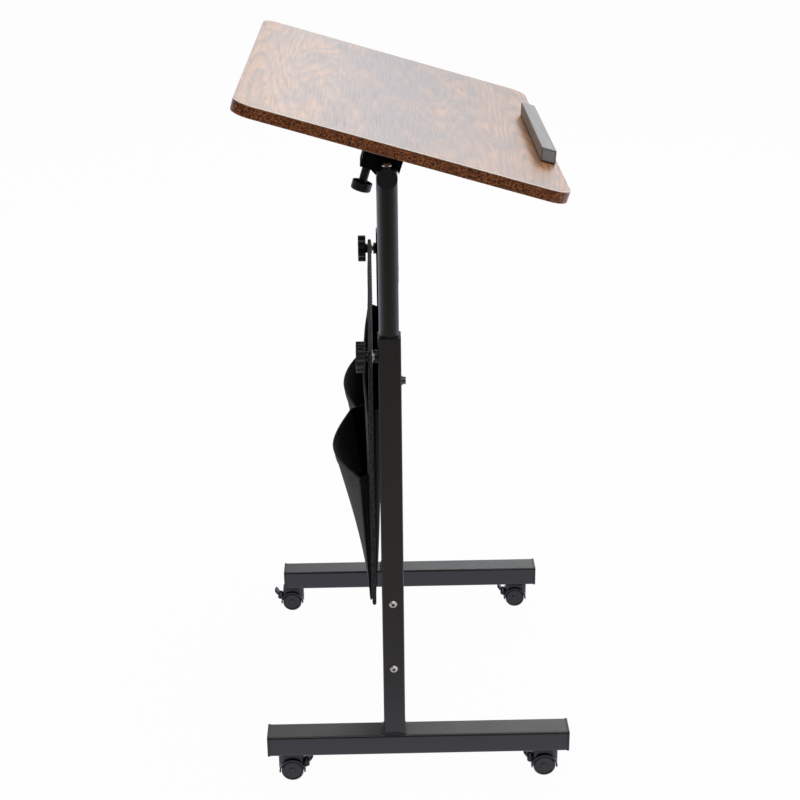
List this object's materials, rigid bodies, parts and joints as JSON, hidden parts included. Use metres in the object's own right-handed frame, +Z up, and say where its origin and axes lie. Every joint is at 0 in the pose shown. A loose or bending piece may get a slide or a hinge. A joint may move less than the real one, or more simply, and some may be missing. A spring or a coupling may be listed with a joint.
{
  "type": "rolling laptop desk",
  "caption": "Rolling laptop desk: a tilting wood-effect top with a stop bar on telescopic square legs, with clamp knobs, a hanging pocket bag and braked swivel casters.",
  "frame": {"origin": "on the floor, under the middle of the overall width and depth", "axes": "+X to the user and the low edge of the top, +Y to the user's right, +Z up"},
  "size_m": [0.427, 0.6, 0.9454],
  "materials": {
    "top_laminate": "satin wood-grain laminate",
    "powder_coat": "matt black powder coat",
    "black_plastic": "moulded black",
    "grey_plastic": "moulded grey",
    "soft_pad": "foam strip",
    "zinc": "bright zinc plating",
    "bag_cloth": "dark grey woven cloth",
    "caster_plastic": "moulded black nylon",
    "wheel_plastic": "moulded black nylon"
  },
  "bodies": {
    "frame": {"foot_left": "powder_coat", "foot_right": "powder_coat", "foot_caps": "black_plastic", "column_left": "powder_coat", "column_right": "powder_coat", "guide_bushing_left": "black_plastic", "guide_bushing_right": "black_plastic", "lower_cross_bar": "powder_coat", "upper_cross_bar": "powder_coat", "cross_bar_inserts": "black_plastic", "cross_bar_screws": "zinc", "stop_screws": "powder_coat", "weld_nuts": "powder_coat", "bag_washers": "zinc", "bag_panel": "bag_cloth", "bag_main_pocket": "bag_cloth", "bag_user_pocket": "bag_cloth", "bag_left_pocket": "bag_cloth", "bag_right_pocket": "bag_cloth", "caster_stems": "zinc"},
    "lift": {"head_tube": "powder_coat", "head_tube_plugs": "black_plastic", "post_bolts": "zinc", "post_inserts": "black_plastic", "post_left": "powder_coat", "post_right": "powder_coat", "post_glides": "black_plastic"},
    "table": {"desktop": "top_laminate", "stop_bar": "grey_plastic", "stop_bar_pad": "soft_pad", "stop_bar_screws": "zinc", "clamp_saddle_left": "black_plastic", "clamp_saddle_right": "black_plastic", "clamp_jaw_left": "black_plastic", "clamp_jaw_right": "black_plastic", "clamp_screws": "zinc"},
    "height_knob_left": {"height_knob_left": "black_plastic", "height_screw_left": "zinc"},
    "tilt_knob_left": {"tilt_knob_left": "black_plastic", "tilt_bolt_left": "zinc"},
    "height_knob_right": {"height_knob_right": "black_plastic", "height_screw_right": "zinc"},
    "tilt_knob_right": {"tilt_knob_right": "black_plastic", "tilt_bolt_right": "zinc"},
    "caster_front_left": {"caster_front_left_housing": "caster_plastic"},
    "caster_front_left_wheels": {"caster_front_left_wheels": "wheel_plastic", "caster_front_left_axle": "zinc"},
    "caster_front_left_brake": {"caster_front_left_brake": "caster_plastic"},
    "caster_front_right": {"caster_front_right_housing": "caster_plastic"},
    "caster_front_right_wheels": {"caster_front_right_wheels": "wheel_plastic", "caster_front_right_axle": "zinc"},
    "caster_front_right_brake": {"caster_front_right_brake": "caster_plastic"},
    "caster_back_left": {"caster_back_left_housing": "caster_plastic"},
    "caster_back_left_wheels": {"caster_back_left_wheels": "wheel_plastic", "caster_back_left_axle": "zinc"},
    "caster_back_left_brake": {"caster_back_left_brake": "caster_plastic"},
    "caster_back_right": {"caster_back_right_housing": "caster_plastic"},
    "caster_back_right_wheels": {"caster_back_right_wheels": "wheel_plastic", "caster_back_right_axle": "zinc"},
    "caster_back_right_brake": {"caster_back_right_brake": "caster_plastic"}
  },
  "joints": [
    {"name": "height_slide", "type": "slide", "parent": "frame", "child": "lift", "axis": [0, 0, 1], "range_m": [-0.125, 0.135]},
    {"name": "desktop_tilt", "type": "hinge", "parent": "lift", "child": "table", "pos_m": [-0.02353, 0, 0.84], "axis": [0, 1, 0], "range_deg": [-61.5, 28.5]},
    {"name": "height_knob_left_turn", "type": "hinge", "parent": "frame", "child": "height_knob_left", "pos_m": [-0.06353, -0.2318, 0.614], "axis": [-1, 0, 0], "range_deg": [0, 720]},
    {"name": "tilt_knob_left_turn", "type": "hinge", "parent": "table", "child": "tilt_knob_left", "pos_m": [-0.05542, -0.1956, 0.81544], "axis": [-0.284, 0, -0.9588], "range_deg": [0, 720]},
    {"name": "height_knob_right_turn", "type": "hinge", "parent": "frame", "child": "height_knob_right", "pos_m": [-0.06353, 0.2318, 0.614], "axis": [-1, 0, 0], "range_deg": [0, 720]},
    {"name": "tilt_knob_right_turn", "type": "hinge", "parent": "table", "child": "tilt_knob_right", "pos_m": [-0.05542, 0.1956, 0.81544], "axis": [-0.284, 0, -0.9588], "range_deg": [0, 720]},
    {"name": "caster_front_left_swivel", "type": "hinge", "parent": "frame", "child": "caster_front_left", "pos_m": [0.19147, -0.2318, 0.0425], "axis": [0, 0, 1], "continuous": true},
    {"name": "caster_front_left_roll", "type": "hinge", "parent": "caster_front_left", "child": "caster_front_left_wheels", "pos_m": [0.18097, -0.2318, 0.015], "axis": [0, 1, 0], "continuous": true},
    {"name": "caster_front_left_brake_press", "type": "hinge", "parent": "caster_front_left", "child": "caster_front_left_brake", "pos_m": [0.1615, -0.2318, 0.02287], "axis": [0, -1, 0], "range_deg": [0, 25]},
    {"name": "caster_front_right_swivel", "type": "hinge", "parent": "frame", "child": "caster_front_right", "pos_m": [0.19147, 0.2318, 0.0425], "axis": [0, 0, 1], "continuous": true},
    {"name": "caster_front_right_roll", "type": "hinge", "parent": "caster_front_right", "child": "caster_front_right_wheels", "pos_m": [0.18097, 0.2318, 0.015], "axis": [0, 1, 0], "continuous": true},
    {"name": "caster_front_right_brake_press", "type": "hinge", "parent": "caster_front_right", "child": "caster_front_right_brake", "pos_m": [0.1615, 0.2318, 0.02287], "axis": [0, -1, 0], "range_deg": [0, 25]},
    {"name": "caster_back_left_swivel", "type": "hinge", "parent": "frame", "child": "caster_back_left", "pos_m": [-0.17453, -0.2318, 0.0425], "axis": [0, 0, 1], "continuous": true},
    {"name": "caster_back_left_roll", "type": "hinge", "parent": "caster_back_left", "child": "caster_back_left_wheels", "pos_m": [-0.16403, -0.2318, 0.015], "axis": [0, 1, 0], "continuous": true},
    {"name": "caster_back_left_brake_press", "type": "hinge", "parent": "caster_back_left", "child": "caster_back_left_brake", "pos_m": [-0.14456, -0.2318, 0.02287], "axis": [0, 1, 0], "range_deg": [0, 25]},
    {"name": "caster_back_right_swivel", "type": "hinge", "parent": "frame", "child": "caster_back_right", "pos_m": [-0.17453, 0.2318, 0.0425], "axis": [0, 0, 1], "continuous": true},
    {"name": "caster_back_right_roll", "type": "hinge", "parent": "caster_back_right", "child": "caster_back_right_wheels", "pos_m": [-0.18503, 0.2318, 0.015], "axis": [0, 1, 0], "continuous": true},
    {"name": "caster_back_right_brake_press", "type": "hinge", "parent": "caster_back_right", "child": "caster_back_right_brake", "pos_m": [-0.2045, 0.2318, 0.02287], "axis": [0, -1, 0], "range_deg": [0, 25]}
  ]
}
